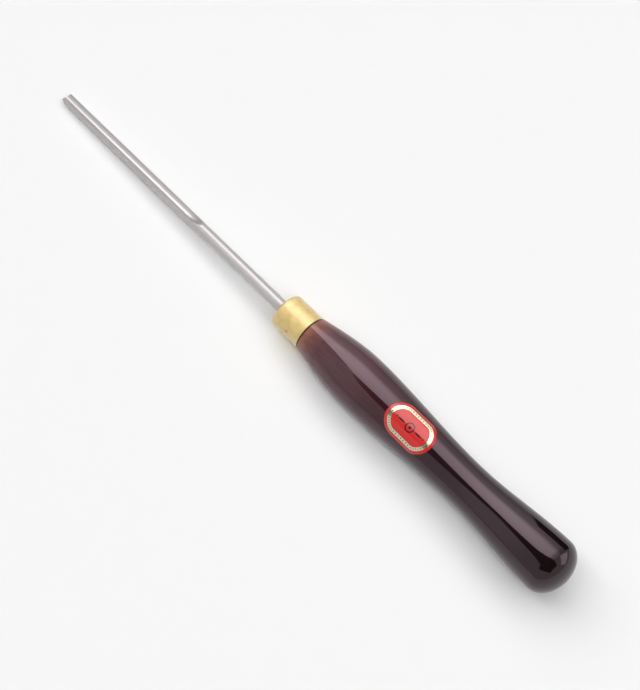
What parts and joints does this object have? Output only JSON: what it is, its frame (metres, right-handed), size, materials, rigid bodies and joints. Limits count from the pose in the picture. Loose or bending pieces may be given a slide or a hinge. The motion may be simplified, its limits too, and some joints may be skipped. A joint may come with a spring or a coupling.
{
  "type": "spindle gouge",
  "caption": "Woodturning spindle gouge: round steel bar with a milled flute and ground edge, in a turned hardwood handle with a brass ferrule.",
  "frame": {"origin": "on the tool's axis at the front face of the ferrule, where the bar leaves the handle", "axes": "+X along the bar towards the cutting edge; +Z out of the label's side of the handle, which lies uppermost; +Y completes a right-handed frame"},
  "size_m": [0.361, 0.0292, 0.0292],
  "materials": {
    "tool_steel": "ground and polished along the bar",
    "brass": "polished, with fine turning lines",
    "lacquered_wood": "dark red-brown stain under a gloss lacquer",
    "label_paper": "gloss printed paper"
  },
  "bodies": {
    "root": {"blade": "tool_steel", "ferrule": "brass", "handle": "lacquered_wood", "label": "label_paper"}
  },
  "joints": []
}
